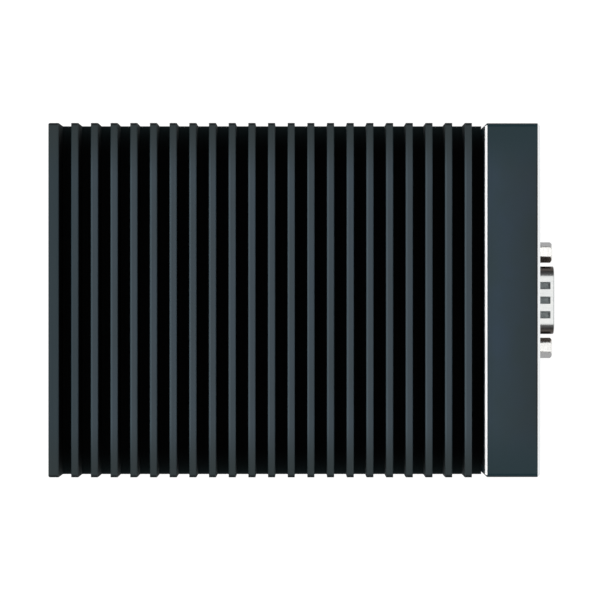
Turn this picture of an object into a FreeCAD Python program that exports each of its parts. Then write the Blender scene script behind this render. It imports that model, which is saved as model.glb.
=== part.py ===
import FreeCAD, Part
import math
import os

# Fanless industrial PC, in millimetres. +X points to the front panel, +Y to the left seen
# from behind it, +Z up. The origin is on the surface it stands on, midway along its whole
# length and width.

# Heatsink housing: one extrusion whose fins run across the body
fin_count = 21
fin_pitch = 5.0
fin_thickness = 1.8
fin_height = 12.5
fin_edge = 0.2
floor_thickness = 3.5
rear_wall = 2.6
rear_corner = 0.45
spigot_depth = 4.0

# Body
body_width = 90.0
seam = 0.1

# Front bezel: a ring with bright-cut edges
bezel_length = 14.2
bezel_wall = 2.5
bezel_corner = 1.0
bezel_inner_corner = 1.5
bezel_chamfer = 0.7
boss_size = 7.0
panel_thickness = 0.8

# Bottom cover: a folded sheet
cover_thickness = 1.5
bend_radius = 0.5
front_flange = 9.8
flange_relief = 5.0

# Small round pieces and threads are drawn with this many sides
shaft_sides = 16
pin_sides = 12

# Screws: M3 countersunk, with a hexagonal socket
screw_radius = 1.5
screw_head = 2.75
screw_clearance = 0.2
thread_gap = 0.05
socket_width = 2.0
socket_depth = 0.9
thread_depth = 3.5
cover_screw_length = 6.0

# Standoffs that carry the board under the heatsink
standoff_width = 5.0
lower_standoff = 8.9
upper_standoff = 12.0
stud_length = 2.5
board_stud = 4.0
standoff_bore = 6.0
standoff_inset = 9.0
standoff_side = 8.0

# Feet and the mounting pattern in the base
foot_radius = 5.0
foot_height = 2.0
foot_inset = 22.0
foot_side = 9.0
mount_length = 75.0
mount_width = 35.0
mount_bore = 1.65
nut_width = 6.0
nut_height = 1.5
panel_nut_width = 5.5
panel_nut_height = 1.2

# Mainboard
board_thickness = 1.6
board_side_gap = 2.5
board_edge_gap = 0.6

# Processor and its heat path
processor_x = 60.0
processor_size = (28.0, 24.0)
processor_height = 1.5
pad_height = 0.5
block_size = (40.0, 40.0)

# Serial port: nine-way male connector with screwlocks
serial_height = 6.5
shell_width = 17.7
shell_height = 9.15
shell_depth = 6.1
shell_wall = 0.4
shell_corner = 3.0
shell_slope = 10.0
serial_flange = (30.8, 12.5)
serial_flange_corner = 1.5
serial_flange_thickness = 0.5
port_gap = 0.3
dimple_count = 3
dimple_pitch = 3.81
dimple_width = 1.9
dimple_slope = 0.4
dimple_sink = 0.3
dimple_start = 1.9
dimple_end = 4.9
pin_pitch = 2.77
pin_row = 2.84
pin_radius = 0.5
pin_recess = 0.7
nose = 0.6
insulator_depth = 8.0
insulator_width = 19.2
insulator_height = 11.6
lock_pitch = 24.99
lock_width = 4.76
lock_length = 4.8
lock_bore = 1.13
lock_bore_depth = 4.4
lock_stud = 1.42
lock_stud_length = 4.3
lock_turns = (8.0, 5.0)
lock_bevel = 0.6
insert_radius = 2.4
insert_length = 2.4

# Front row: two USB ports, the power button and two light pipes
usb_width = 13.1
usb_height = 5.7
usb_depth = 14.0
usb_wall = 0.3
usb_bevel = 0.5
tongue_width = 11.1
tongue_height = 1.84
tongue_length = 8.6
button_side = 4.5
button_z = 4.0
button_radius = 2.8
button_gap = 0.15
button_flange = 3.5
button_flange_thickness = 0.8
button_travel = 0.5
stem_radius = 1.1
stem_length = 2.6
switch_size = 6.0
switch_depth = 4.0
pipe_pitch = 3.6
pipe_z = 3.4
pipe_radius = 1.0
pipe_length = 6.0
plug_z = 9.0
plug_radius = 3.2
plug_head = 4.2
plug_head_height = 0.5
plug_depth = 3.0

# Rear row: two network jacks, a video socket and the power inlet
rear_recess = 0.3
port_margin = 1.0
jack_width = 16.0
jack_height = 11.6
jack_depth = 18.0
jack_mouth = (11.8, 6.8)
jack_mouth_depth = 13.0
jack_sill = 3.2
latch_steps = ((6.2, 1.4), (3.4, 2.4))
video_width = 15.0
video_height = 5.6
video_depth = 11.5
video_wall = 0.4
video_tongue = (11.2, 1.3)
video_tongue_length = 6.0
video_cut = 1.4
inlet_width = 9.0
inlet_height = 11.0
inlet_depth = 13.0
inlet_bore = 2.8
inlet_bore_depth = 9.5
inlet_pin = 1.0

# Memory and storage under the board
memory_x = 16.0
memory_socket = (6.0, 72.0, 5.2)
memory_size = (30.0, 67.6, 1.2)
memory_entry = 3.0
memory_chip = (9.0, 11.0, 1.0)
memory_chips = 4
storage_gap = 3.0
storage_size = (42.0, 22.0, 0.8)
storage_drop = 2.4
storage_socket = (8.0, 22.0)
storage_entry = 2.0
storage_post = 2.5
storage_chip = (12.0, 14.0, 1.2)

# Parts on top of the board
choke_size = 7.0
choke_height = 4.0
choke_pitch = 10.0
choke_count = 3
capacitor_radius = 3.15
capacitor_height = 6.0
capacitor_pitch = 8.0
capacitor_count = 3
power_parts_x = 22.0
battery_radius = 10.0
battery_height = 3.6
battery_place = (90.0, -24.0)

# Places that follow from the sizes above
X = FreeCAD.Vector(1, 0, 0)
Y = FreeCAD.Vector(0, 1, 0)
Z = FreeCAD.Vector(0, 0, 1)
channel = fin_pitch - fin_thickness
fin_field = channel + fin_count * fin_pitch
body_length = rear_wall + fin_field + bezel_length
board_stack = cover_thickness + lower_standoff + board_thickness + upper_standoff
body_height = board_stack + floor_thickness + fin_height
serial_reach = shell_depth - panel_thickness
rear_x = -(body_length + serial_reach) / 2
bezel_x = rear_x + rear_wall + fin_field
front_x = rear_x + body_length
panel_x = front_x - panel_thickness
base_z = foot_height
tray_z = base_z + cover_thickness
top_z = base_z + body_height
channel_z = top_z - fin_height
ceiling_z = channel_z - floor_thickness
board_top = ceiling_z - upper_standoff
board_z = board_top - board_thickness
opening = (body_width - 2 * bezel_wall, body_height - 2 * bezel_wall)
middle_z = base_z + body_height / 2
cover_rear_x = rear_x + rear_wall + seam
cover_front_x = bezel_x - seam
serial_z = board_top + serial_height
boss_y = opening[0] / 2 - boss_size / 2
boss_zs = (middle_z + opening[1] / 2 - boss_size / 2, middle_z - opening[1] / 2 + boss_size / 2)
port_x = rear_x + rear_recess
standoff_y = body_width / 2 - standoff_side
foot_y = body_width / 2 - foot_side
board_width = body_width - 2 * (cover_thickness + board_side_gap)
button_y = opening[0] / 2 - button_side
usb_y = (serial_flange[0] / 2 + button_y - button_flange) / 2
pipe_y = (-button_y + pipe_pitch / 2, -button_y - pipe_pitch / 2)


def around(centre, size):
    return centre - size / 2, centre + size / 2


def block(xs, ys, zs):
    low = FreeCAD.Vector(xs[0], ys[0], zs[0])
    return Part.makeBox(xs[1] - xs[0], ys[1] - ys[0], zs[1] - zs[0], low)


def rod(radius, start, axis, length):
    return Part.makeCylinder(radius, length, FreeCAD.Vector(*start), axis)


def ring(radius, sides, start, axis, turn):
    place = FreeCAD.Placement(FreeCAD.Vector(*start), FreeCAD.Rotation(Z, axis))
    angles = [math.radians(turn + 360 * i / sides) for i in range(sides)]
    points = [FreeCAD.Vector(radius * math.cos(a), radius * math.sin(a), 0) for a in angles]
    return [place.multVec(point) for point in points]


def between(low, high):
    # Solid with flat sides between two outlines that have as many corners
    faces = [Part.Face(Part.makePolygon([low[i - 1], low[i], high[i], high[i - 1], low[i - 1]]))
             for i in range(len(low))]
    faces += [Part.Face(Part.makePolygon(outline + outline[:1])) for outline in (low, high)]
    shell = Part.makeShell(faces)
    shell.sewShape()
    solid = Part.makeSolid(shell)
    if solid.Volume < 0:
        solid.reverse()
    return solid


def shaft(radius, start, axis, length, end_radius=None, sides=shaft_sides, turn=0.0):
    # A straight or tapered bar with flat sides
    end = FreeCAD.Vector(*start) + axis * length
    return between(ring(radius, sides, start, axis, turn),
                   ring(end_radius or radius, sides, end, axis, turn))


def hexagon(width, start, axis, length, turn=0.0):
    return shaft(width / 2 / math.cos(math.pi / 6), start, axis, length, None, 6, turn)


def prism(points, axis, length):
    corners = [FreeCAD.Vector(*point) for point in points]
    return Part.Face(Part.makePolygon(corners + corners[:1])).extrude(axis * length)


def edges_along(shape, axis, wanted=lambda centre: True):
    lines = [edge for edge in shape.Edges if isinstance(edge.Curve, Part.Line)]
    return [edge for edge in lines
            if abs(edge.tangentAt(edge.FirstParameter).dot(axis)) > 0.999
            and wanted(edge.CenterOfMass)]


def rounded_plate(xs, ys, zs, radius):
    plate = block(xs, ys, zs)
    return plate.makeFillet(radius, edges_along(plate, X))


def bevelled_plate(xs, ys, zs, bevel):
    plate = block(xs, ys, zs)
    return plate.makeChamfer(bevel, edges_along(plate, X))


def countersunk_screw(start, axis, length):
    # Head flush at start, with a hexagonal socket for the key
    head = screw_head - screw_radius
    tip = FreeCAD.Vector(*start) + axis * head
    screw = shaft(screw_head, start, axis, head, screw_radius)
    screw = screw.fuse(shaft(screw_radius, tip, axis, length - head))
    return screw.cut(hexagon(socket_width, start, axis, socket_depth))


def countersink(start, axis, length):
    # Space for the head and shank of the screw above
    radius = screw_head + thread_gap
    neck = screw_radius + screw_clearance
    space = shaft(radius, start, axis, radius - neck, neck)
    return space.fuse(shaft(neck, start, axis, length))


def standoff_places():
    xs = (cover_rear_x + standoff_inset, cover_front_x - standoff_inset)
    return [(x, y) for x in xs for y in (-standoff_y, standoff_y)]


def mount_places():
    centre = rear_x + body_length / 2
    return [(x, y) for x in around(centre, mount_length) for y in around(0, mount_width)]


def rear_ports():
    # Middle, width and height of each port, evenly spaced between the rear standoffs
    sizes = [(jack_width, jack_height), (jack_width, jack_height),
             (video_width, video_height), (inlet_width, inlet_height)]
    row = 2 * (standoff_y - standoff_width / 2 - port_margin)
    space = (row - sum(width for width, height in sizes)) / (len(sizes) - 1)
    ports = []
    edge = row / 2
    for width, height in sizes:
        ports.append((edge - width / 2, width, height))
        edge -= width + space
    return ports


def boss_places():
    return [(y, z) for z in boss_zs for y in (-boss_y, boss_y)]


def d_solid(xs, grow):
    # The D shape of the serial connector, wide side up, grown or shrunk all round
    width, height, corner = shell_width + 2 * grow, shell_height + 2 * grow, shell_corner + grow
    slope = math.radians(shell_slope)
    half_top = width / 2 + corner * (math.tan(slope) + 1 / math.cos(slope) - 1)
    half_low = half_top - height * math.tan(slope)
    low, high = around(serial_z, height)
    outline = [(half_low, low), (half_top, high), (-half_top, high), (-half_low, low)]
    solid = prism([(xs[0], y, z) for y, z in outline], X, xs[1] - xs[0])
    return solid.makeFillet(corner, edges_along(solid, X))


def rectangle(x, y, z, length, width):
    (left, right), end = around(y, width), x + length
    return [FreeCAD.Vector(*corner) for corner in
            ((x, left, z), (end, left, z), (end, right, z), (x, right, z))]


def dimples(grow):
    # Dents with sloping sides along the top and bottom of the serial shell
    dents = []
    x = panel_x + dimple_start - grow
    length = dimple_end - dimple_start + 2 * grow
    width = dimple_width + 2 * grow
    for side in (-1, 1):
        rim = serial_z + side * shell_height / 2
        floor = rim - side * (dimple_sink + grow)
        for i in range(dimple_count):
            y = (i - (dimple_count - 1) / 2) * dimple_pitch
            mouth = rectangle(x, y, rim + side * grow, length, width)
            bottom = rectangle(x + dimple_slope, y, floor, length - 2 * dimple_slope,
                               width - 2 * dimple_slope)
            dents.append(between(mouth, bottom))
    return dents


def heatsink_housing():
    # Section across the fins: rear wall, floor and fins with broken edges
    outline = [(rear_x, base_z), (rear_x + rear_wall, base_z), (rear_x + rear_wall, ceiling_z),
               (bezel_x, ceiling_z), (bezel_x, channel_z)]
    starts = [bezel_x - channel - fin_thickness - i * fin_pitch for i in range(fin_count)]
    walls = [(start, fin_thickness) for start in starts] + [(rear_x, rear_wall)]
    for start, thickness in walls:
        end = start + thickness
        outline += [(end, channel_z), (end, top_z - fin_edge), (end - fin_edge, top_z),
                    (start + fin_edge, top_z), (start, top_z - fin_edge), (start, channel_z)]
    outline.pop()
    side = -body_width / 2
    housing = prism([(x, side, z) for x, z in outline], Y, body_width)
    rear_edges = edges_along(housing, Z, lambda centre: centre.x < rear_x + fin_edge)
    housing = housing.makeFillet(rear_corner, rear_edges)

    # Spigot that closes the bezel above the board and takes its upper screws
    spigot_top = middle_z + opening[1] / 2 - seam
    housing = housing.fuse(block((bezel_x, bezel_x + spigot_depth),
                                 around(0, opening[0] - 2 * seam), (ceiling_z, spigot_top)))
    holes = [shaft(screw_radius + thread_gap, (bezel_x + spigot_depth, y, boss_zs[0]), -X,
                   thread_depth) for y in (-boss_y, boss_y)]
    holes += [shaft(screw_radius + thread_gap, (x, y, ceiling_z), Z, stud_length + seam)
              for x, y in standoff_places()]
    for y, width, height in rear_ports():
        low = board_top - port_gap
        holes.append(block((rear_x - 1, rear_x + rear_wall + 1), around(y, width + 2 * port_gap),
                           (low, board_top + height + port_gap)))
    return housing.cut(holes).removeSplitter()


def front_bezel():
    # Ring with a chamfer round both outer rims and a screw boss in each corner
    ring = rounded_plate((bezel_x, front_x), around(0, body_width), (base_z, top_z),
                         bezel_corner)
    rims = [edge for edge in ring.Edges
            if min(abs(edge.CenterOfMass.x - x) for x in (bezel_x, front_x)) < 0.001]
    ring = ring.makeChamfer(bezel_chamfer, rims)
    inside = rounded_plate((bezel_x - 1, front_x + 1), around(0, opening[0]),
                           around(middle_z, opening[1]), bezel_inner_corner)
    for y, z in boss_places():
        corner = block((bezel_x, panel_x), around(y, boss_size), around(z, boss_size))
        inside = inside.cut(corner)
    ring = ring.cut(inside)
    spigot = block((bezel_x - 1, bezel_x + spigot_depth + seam), around(0, opening[0]),
                   (ceiling_z - 1, middle_z + opening[1] / 2))
    seat = rounded_plate((panel_x, front_x + 1), around(0, opening[0]),
                         around(middle_z, opening[1]), bezel_inner_corner)
    screws = [countersink((front_x, y, z), -X, bezel_length + 1) for y, z in boss_places()]
    return ring.cut([spigot, seat] + screws).removeSplitter()


def io_panel():
    panel = rounded_plate((panel_x, front_x), around(0, opening[0] - 2 * seam),
                          around(middle_z, opening[1] - 2 * seam), bezel_inner_corner - seam)
    through = (panel_x - 1, front_x + 1)
    cuts = [countersink((front_x, y, z), -X, panel_thickness + 1) for y, z in boss_places()]
    cuts.append(d_solid(through, port_gap))
    cuts += [shaft(lock_stud + screw_clearance, (through[0], y, serial_z), X,
                   panel_thickness + 2) for y in around(0, lock_pitch)]
    cuts += [bevelled_plate(through, around(y, usb_width + 2 * port_gap),
                            (board_top - port_gap, board_top + usb_height + port_gap), usb_bevel)
             for y in (-usb_y, usb_y)]
    cuts.append(rod(button_radius + button_gap, (through[0], button_y, board_top + button_z), X,
                    panel_thickness + 2))
    cuts += [shaft(pipe_radius + seam, (through[0], y, board_top + pipe_z), X,
                   panel_thickness + 2) for y in pipe_y]
    cuts += [shaft(plug_radius, (through[0], y, top_z - plug_z), X, panel_thickness + 2)
             for y in (-usb_y, usb_y)]
    return panel.cut(cuts)


def bottom_cover():
    # Side flanges, then the front flange with reliefs at its corners
    outer_bend = bend_radius + cover_thickness
    xs = (cover_rear_x, cover_front_x)
    sheet = block(xs, around(0, body_width), (base_z, ceiling_z - seam))
    sheet = sheet.makeFillet(outer_bend, edges_along(sheet, X, lambda c: c.z < tray_z))
    inside = block((xs[0] - 1, xs[1] + 1), around(0, body_width - 2 * cover_thickness),
                   (tray_z, ceiling_z + 1))
    inside = inside.makeFillet(bend_radius, edges_along(inside, X, lambda c: c.z < ceiling_z))
    relief = block((xs[1] - outer_bend, xs[1] + 1), around(0, body_width - 2 * flange_relief + 2),
                   (base_z - 1, tray_z + 1))
    sheet = sheet.cut([inside, relief])

    strip = (xs[1] - 2 * outer_bend, xs[1])
    across = around(0, body_width - 2 * flange_relief)
    flange = block(strip, across, (base_z, base_z + front_flange))
    flange = flange.makeFillet(outer_bend, edges_along(
        flange, Y, lambda c: c.z < tray_z and c.x > strip[1] - 0.1))
    pocket = block((strip[0] - 1, strip[1] - cover_thickness), (across[0] - 1, across[1] + 1),
                   (tray_z, top_z))
    pocket = pocket.makeFillet(bend_radius, edges_along(
        pocket, Y, lambda c: c.z < ceiling_z and c.x > strip[0]))
    sheet = sheet.fuse(flange.cut(pocket))

    holes = [countersink((x, y, base_z), Z, cover_thickness + 1) for x, y in standoff_places()]
    holes += [hexagon(nut_width, (x, y, base_z - 1), Z, cover_thickness + 2)
              for x, y in mount_places()]
    holes += [shaft(screw_radius + screw_clearance, (xs[1] + 1, y, boss_zs[1]), -X,
                    cover_thickness + 2) for y in (-boss_y, boss_y)]
    return sheet.cut(holes).removeSplitter()


def feet():
    xs = (cover_rear_x + foot_inset, cover_front_x - foot_inset)
    places = [(x, y) for x in xs for y in (-foot_y, foot_y)]
    return [rod(foot_radius, (x, y, 0), Z, foot_height) for x, y in places]


def mount_nuts():
    # Hexagonal press-in nuts that fill their holes in the sheet
    height = cover_thickness + nut_height
    return [hexagon(nut_width, (x, y, base_z), Z, height).cut(
        rod(mount_bore, (x, y, base_z), Z, height)) for x, y in mount_places()]


def cover_screws():
    return [countersunk_screw((x, y, base_z), Z, cover_screw_length)
            for x, y in standoff_places()]


def lower_standoffs():
    bore = screw_radius + thread_gap
    posts = []
    for x, y in standoff_places():
        post = hexagon(standoff_width, (x, y, tray_z), Z, board_z - tray_z)
        post = post.cut(shaft(bore, (x, y, tray_z), Z, standoff_bore))
        posts.append(post.fuse(shaft(screw_radius, (x, y, board_z), Z,
                                     board_thickness + board_stud)))
    return posts


def upper_standoffs():
    bore = screw_radius + thread_gap
    posts = []
    for x, y in standoff_places():
        post = hexagon(standoff_width, (x, y, board_top), Z, upper_standoff)
        post = post.cut(shaft(bore, (x, y, board_top), Z, standoff_bore))
        posts.append(post.fuse(shaft(screw_radius, (x, y, ceiling_z), Z, stud_length)))
    return posts


def panel_screws():
    # The upper pair ends in the spigot, the lower pair in nuts behind the cover's flange
    upper = bezel_length - spigot_depth + thread_depth - seam
    lower = bezel_length + seam + cover_thickness + panel_nut_height
    return [countersunk_screw((front_x, y, z), -X, upper if z == boss_zs[0] else lower)
            for y, z in boss_places()]


def panel_nuts():
    nuts = []
    for y in (-boss_y, boss_y):
        start = (cover_front_x - cover_thickness, y, boss_zs[1])
        nut = hexagon(panel_nut_width, start, -X, panel_nut_height)
        nuts.append(nut.cut(shaft(screw_radius + thread_gap, start, -X, panel_nut_height)))
    return nuts


def mainboard():
    xs = (rear_x + rear_wall + board_edge_gap, panel_x - serial_flange_thickness - board_edge_gap)
    board = block(xs, around(0, board_width), (board_z, board_top))
    return board.cut([shaft(screw_radius + screw_clearance, (x, y, board_z), Z,
                            board_thickness) for x, y in standoff_places()])


def heat_path():
    x = rear_x + processor_x
    chip_top = board_top + processor_height
    pad_top = chip_top + pad_height
    chip = block(around(x, processor_size[0]), around(0, processor_size[1]),
                 (board_top, chip_top))
    pad = block(around(x, processor_size[0]), around(0, processor_size[1]), (chip_top, pad_top))
    spreader = block(around(x, block_size[0]), around(0, block_size[1]), (pad_top, ceiling_z))
    return {"processor": chip, "thermal_pad": pad, "thermal_block": spreader}


def serial_port():
    flange_x = panel_x - serial_flange_thickness
    insert_x = flange_x - insert_length
    flange = rounded_plate((flange_x, panel_x), around(0, serial_flange[0]),
                           around(serial_z, serial_flange[1]), serial_flange_corner)
    tube = d_solid((flange_x, panel_x + shell_depth), 0).cut(dimples(0))
    bore = d_solid((flange_x - 1, panel_x + shell_depth + 1), -shell_wall)
    bore = bore.cut(dimples(shell_wall))
    shell = flange.fuse(tube).cut(bore)
    for y in around(0, lock_pitch):
        shell = shell.fuse(shaft(insert_radius, (flange_x, y, serial_z), -X, insert_length))
        shell = shell.cut(shaft(lock_stud + thread_gap, (insert_x - 1, y, serial_z), X,
                                insert_length + serial_flange_thickness + 2))

    nose_x = panel_x + nose
    insulator = block((flange_x - insulator_depth, flange_x), around(0, insulator_width),
                      (board_top, board_top + insulator_height))
    insulator = insulator.fuse(d_solid((flange_x, nose_x), -shell_wall - thread_gap))

    pins = []
    pin_length = shell_depth - nose - pin_recess
    for count, z in ((5, serial_z + pin_row / 2), (4, serial_z - pin_row / 2)):
        for i in range(count):
            y = (i - (count - 1) / 2) * pin_pitch
            body = shaft(pin_radius, (nose_x, y, z), X, pin_length - pin_radius, sides=pin_sides)
            tip = shaft(pin_radius, (nose_x + pin_length - pin_radius, y, z), X, pin_radius,
                        pin_radius / 2, pin_sides)
            pins.append(body.fuse(tip))
    return {"serial_shell": shell.removeSplitter(), "serial_insulator": insulator,
            "serial_pins": Part.makeCompound(pins)}


def screwlocks():
    locks = []
    corner = lock_width / 2 / math.cos(math.pi / 6)
    shoulder_x = front_x + lock_length - lock_bevel
    for y, turn in zip(around(0, lock_pitch), lock_turns):
        lock = hexagon(lock_width, (front_x, y, serial_z), X, lock_length - lock_bevel, turn)
        lock = lock.fuse([shaft(corner, (shoulder_x, y, serial_z), X, lock_bevel,
                                corner - lock_bevel, 6, turn),
                          shaft(lock_stud, (front_x, y, serial_z), -X, lock_stud_length)])
        locks.append(lock.cut(rod(lock_bore, (front_x + lock_length, y, serial_z), -X,
                                  lock_bore_depth)))
    return locks


def usb_ports():
    pieces = {}
    back_x = front_x - usb_depth
    for number, y in enumerate((-usb_y, usb_y), 1):
        zs = (board_top, board_top + usb_height)
        shell = bevelled_plate((back_x, front_x), around(y, usb_width), zs, usb_bevel)
        inner = (zs[0] + usb_wall, zs[1] - usb_wall)
        cavity = (back_x - 1, front_x + 1)
        width = usb_width - 2 * usb_wall
        shell = shell.cut(bevelled_plate(cavity, around(y, width), inner, usb_bevel))
        plug_x = front_x - usb_wall - tongue_length
        base = bevelled_plate((back_x, plug_x), around(y, width), inner, usb_bevel)
        tongue = block((plug_x, plug_x + tongue_length), around(y, tongue_width),
                       (inner[1] - tongue_height - usb_wall, inner[1] - usb_wall))
        pieces["usb_shell_%d" % number] = shell
        pieces["usb_tongue_%d" % number] = base.fuse(tongue)
    return pieces


def power_button():
    z = board_top + button_z
    flange_x = panel_x - seam
    cap = rod(button_radius, (flange_x, button_y, z), X, panel_thickness + seam)
    flange = shaft(button_flange, (flange_x, button_y, z), -X, button_flange_thickness)
    stem_x = flange_x - button_flange_thickness
    stem = shaft(stem_radius, (stem_x, button_y, z), -X, stem_length)
    switch_x = stem_x - button_travel - 2 * seam
    entry = stem_length - 2 * seam
    switch = block((switch_x - switch_depth, switch_x), around(button_y, switch_size),
                   (board_top, board_top + button_z + switch_size / 2))
    switch = switch.cut(shaft(stem_radius + button_gap, (switch_x, button_y, z), -X, entry))
    return {"power_button": cap.fuse([flange, stem]), "power_switch": switch}


def light_pipes():
    pipes = []
    z = board_top + pipe_z
    for y in pipe_y:
        pipe = shaft(pipe_radius, (front_x, y, z), -X, pipe_length)
        holder = block((front_x - 2 * pipe_length, front_x - pipe_length),
                       around(y, 2 * pipe_radius), (board_top, z + pipe_radius))
        pipes.append(pipe.fuse(holder))
    return pipes


def antenna_plugs():
    plugs = []
    for y in (-usb_y, usb_y):
        start = (front_x, y, top_z - plug_z)
        head = rod(plug_head, start, X, plug_head_height)
        plugs.append(head.fuse(shaft(plug_radius - thread_gap, start, -X, plug_depth)))
    return plugs


def network_jacks():
    jacks = []
    for y, width, height in rear_ports()[:2]:
        jack = block((port_x, port_x + jack_depth), around(y, width),
                     (board_top, board_top + height))
        low = board_top + jack_sill
        mouth = (port_x - 1, port_x + jack_mouth_depth)
        jack = jack.cut(block(mouth, around(y, jack_mouth[0]), (low, low + jack_mouth[1])))
        for step, drop in latch_steps:
            jack = jack.cut(block(mouth, around(y, step), (low - drop, low + seam)))
        jacks.append(jack)
    return jacks


def video_socket():
    video_y = rear_ports()[2][0]
    zs = (board_top, board_top + video_height)
    deep = (port_x, port_x + video_depth)
    outer = block(deep, around(video_y, video_width), zs)
    outer = outer.makeChamfer(video_cut, edges_along(outer, X, lambda c: c.z < zs[0] + 0.1))
    hollow = block((deep[0] - 1, deep[1] + 1), around(video_y, video_width - 2 * video_wall),
                   (zs[0] + video_wall, zs[1] - video_wall))
    low_edges = edges_along(hollow, X, lambda c: c.z < zs[0] + video_wall + 0.1)
    hollow = hollow.makeChamfer(video_cut - video_wall / 2, low_edges)
    tongue_x = deep[0] + video_wall
    filler = hollow.common(block((tongue_x + video_tongue_length, deep[1]),
                                 around(video_y, video_width), zs))
    tongue = block((tongue_x, deep[1]), around(video_y, video_tongue[0]),
                   around((zs[0] + zs[1]) / 2, video_tongue[1]))
    return {"video_shell": outer.cut(hollow), "video_tongue": filler.fuse(tongue)}


def power_inlet():
    inlet_y = rear_ports()[3][0]
    z = board_top + inlet_height / 2
    body = block((port_x, port_x + inlet_depth), around(inlet_y, inlet_width),
                 (board_top, board_top + inlet_height))
    body = body.cut(rod(inlet_bore, (port_x, inlet_y, z), X, inlet_bore_depth))
    pin = shaft(inlet_pin, (port_x + inlet_bore_depth, inlet_y, z), -X,
                inlet_bore_depth - rear_recess)
    return {"power_inlet": body, "power_inlet_pin": pin}


def memory():
    x = rear_x + memory_x
    length, width, height = memory_socket
    socket = block((x, x + length), around(0, width), (board_z - height, board_z))
    slot_z = board_z - height / 2
    start = x + length - memory_entry
    gap = memory_size[2] + 2 * thread_gap
    socket = socket.cut(block((start, x + length + 1), around(0, memory_size[1] + 2 * seam),
                              around(slot_z, gap)))
    module = block((start, start + memory_size[0]), around(0, memory_size[1]),
                   around(slot_z, memory_size[2]))
    chip_x = start + memory_size[0] / 2 + memory_entry / 2
    low = slot_z - memory_size[2] / 2
    for i in range(memory_chips):
        y = (i - (memory_chips - 1) / 2) * memory_size[1] / memory_chips
        module = module.fuse(block(around(chip_x, memory_chip[0]), around(y, memory_chip[1]),
                                   (low - memory_chip[2], low)))
    return {"memory_socket": socket, "memory_module": module}


def storage():
    length, width, thickness = storage_size
    x = cover_front_x - cover_thickness - storage_gap - length
    high = board_z - storage_drop
    socket = block((x - storage_socket[0], x + storage_entry), around(0, storage_socket[1]),
                   (high - thickness - thread_gap * 2, board_z))
    slot = block((x - thread_gap, x + storage_entry + 1), around(0, width + 2 * seam),
                 (high - thickness - 1, high + thread_gap))
    post = shaft(storage_post, (x + length - storage_post, 0, board_z), -Z, storage_drop)
    module = block((x, x + length), around(0, width), (high - thickness, high))
    for side in (1, 2):
        chip_x = x + side * length / 3
        module = module.fuse(block(around(chip_x, storage_chip[0]), around(0, storage_chip[1]),
                                   (high - thickness - storage_chip[2], high - thickness)))
    return {"storage_module": module}, [socket.cut(slot), post]


def numbered(name, shapes):
    return {"%s_%d" % (name, i): shape for i, shape in enumerate(shapes, 1)}


def in_row(count, pitch):
    return [(i + 0.5) * pitch for i in range(count)]


def board_parts(under):
    # Chokes, capacitors and the clock battery on top of the board, the storage fixings below
    x = rear_x + power_parts_x
    parts = [block(around(x, choke_size), around(-y, choke_size),
                   (board_top, board_top + choke_height))
             for y in in_row(choke_count, choke_pitch)]
    parts += [shaft(capacitor_radius, (x, y, board_top), Z, capacitor_height)
              for y in in_row(capacitor_count, capacitor_pitch)]
    parts.append(shaft(battery_radius, (rear_x + battery_place[0], battery_place[1], board_top),
                       Z, battery_height))
    return Part.makeCompound(parts + under)


def build():
    nodes = {"heatsink_housing": heatsink_housing(), "front_bezel": front_bezel(),
             "io_panel": io_panel(), "bottom_cover": bottom_cover(), "mainboard": mainboard()}
    repeats = {"foot": feet, "mount_nut": mount_nuts, "cover_screw": cover_screws,
               "lower_standoff": lower_standoffs, "upper_standoff": upper_standoffs,
               "panel_screw": panel_screws, "panel_nut": panel_nuts, "screwlock": screwlocks,
               "light_pipe": light_pipes, "antenna_plug": antenna_plugs,
               "network_jack": network_jacks}
    for name, make in repeats.items():
        nodes.update(numbered(name, make()))
    for make in (heat_path, serial_port, usb_ports, power_button, video_socket, power_inlet,
                 memory):
        nodes.update(make())
    module, fixings = storage()
    nodes.update(module)
    nodes["board_parts"] = board_parts(fixings)
    return nodes


os.makedirs("parts", exist_ok=True)
for name, shape in build().items():
    shape.exportStep("parts/%s.step" % name)
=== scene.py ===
import math

import bmesh
import bpy
from mathutils import Matrix, Vector


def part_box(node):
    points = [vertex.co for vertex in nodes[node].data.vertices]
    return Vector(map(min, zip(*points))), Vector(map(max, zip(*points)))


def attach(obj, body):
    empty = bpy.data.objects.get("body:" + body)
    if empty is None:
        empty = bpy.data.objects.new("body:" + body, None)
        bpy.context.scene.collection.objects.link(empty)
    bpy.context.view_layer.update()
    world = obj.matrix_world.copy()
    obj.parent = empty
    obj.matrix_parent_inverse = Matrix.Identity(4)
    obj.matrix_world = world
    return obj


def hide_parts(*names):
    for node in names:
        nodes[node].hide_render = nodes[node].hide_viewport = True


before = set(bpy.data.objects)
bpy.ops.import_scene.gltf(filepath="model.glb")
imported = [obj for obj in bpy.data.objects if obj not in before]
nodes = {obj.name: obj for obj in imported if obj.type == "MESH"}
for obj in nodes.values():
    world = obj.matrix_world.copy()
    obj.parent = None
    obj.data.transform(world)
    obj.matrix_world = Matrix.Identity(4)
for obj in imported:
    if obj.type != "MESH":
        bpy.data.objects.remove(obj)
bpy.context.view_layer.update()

# Fanless industrial computer: a finned heatsink housing, a bezel with bright-cut edges and a
# front panel with its connectors. Metres, in the frame of the solids.

mm = 0.001
scene = bpy.context.scene
print("frame loaded,", len(nodes), "solids")


# Camera, seen from straight above
viewpoint = {"x": -0.84, "y": -0.34, "height": 702.0, "lens": 155.15, "sensor": 36.0}

cameraData = bpy.data.cameras.new("topCamera")
cameraData.lens = viewpoint["lens"]
cameraData.sensor_width = viewpoint["sensor"]
cameraData.clip_start = 0.01
camera = bpy.data.objects.new("topCamera", cameraData)
camera.location = (viewpoint["x"] * mm, viewpoint["y"] * mm, viewpoint["height"] * mm)
scene.collection.objects.link(camera)
scene.camera = camera
scene.view_settings.view_transform = "Standard"
print("camera placed")


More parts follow.
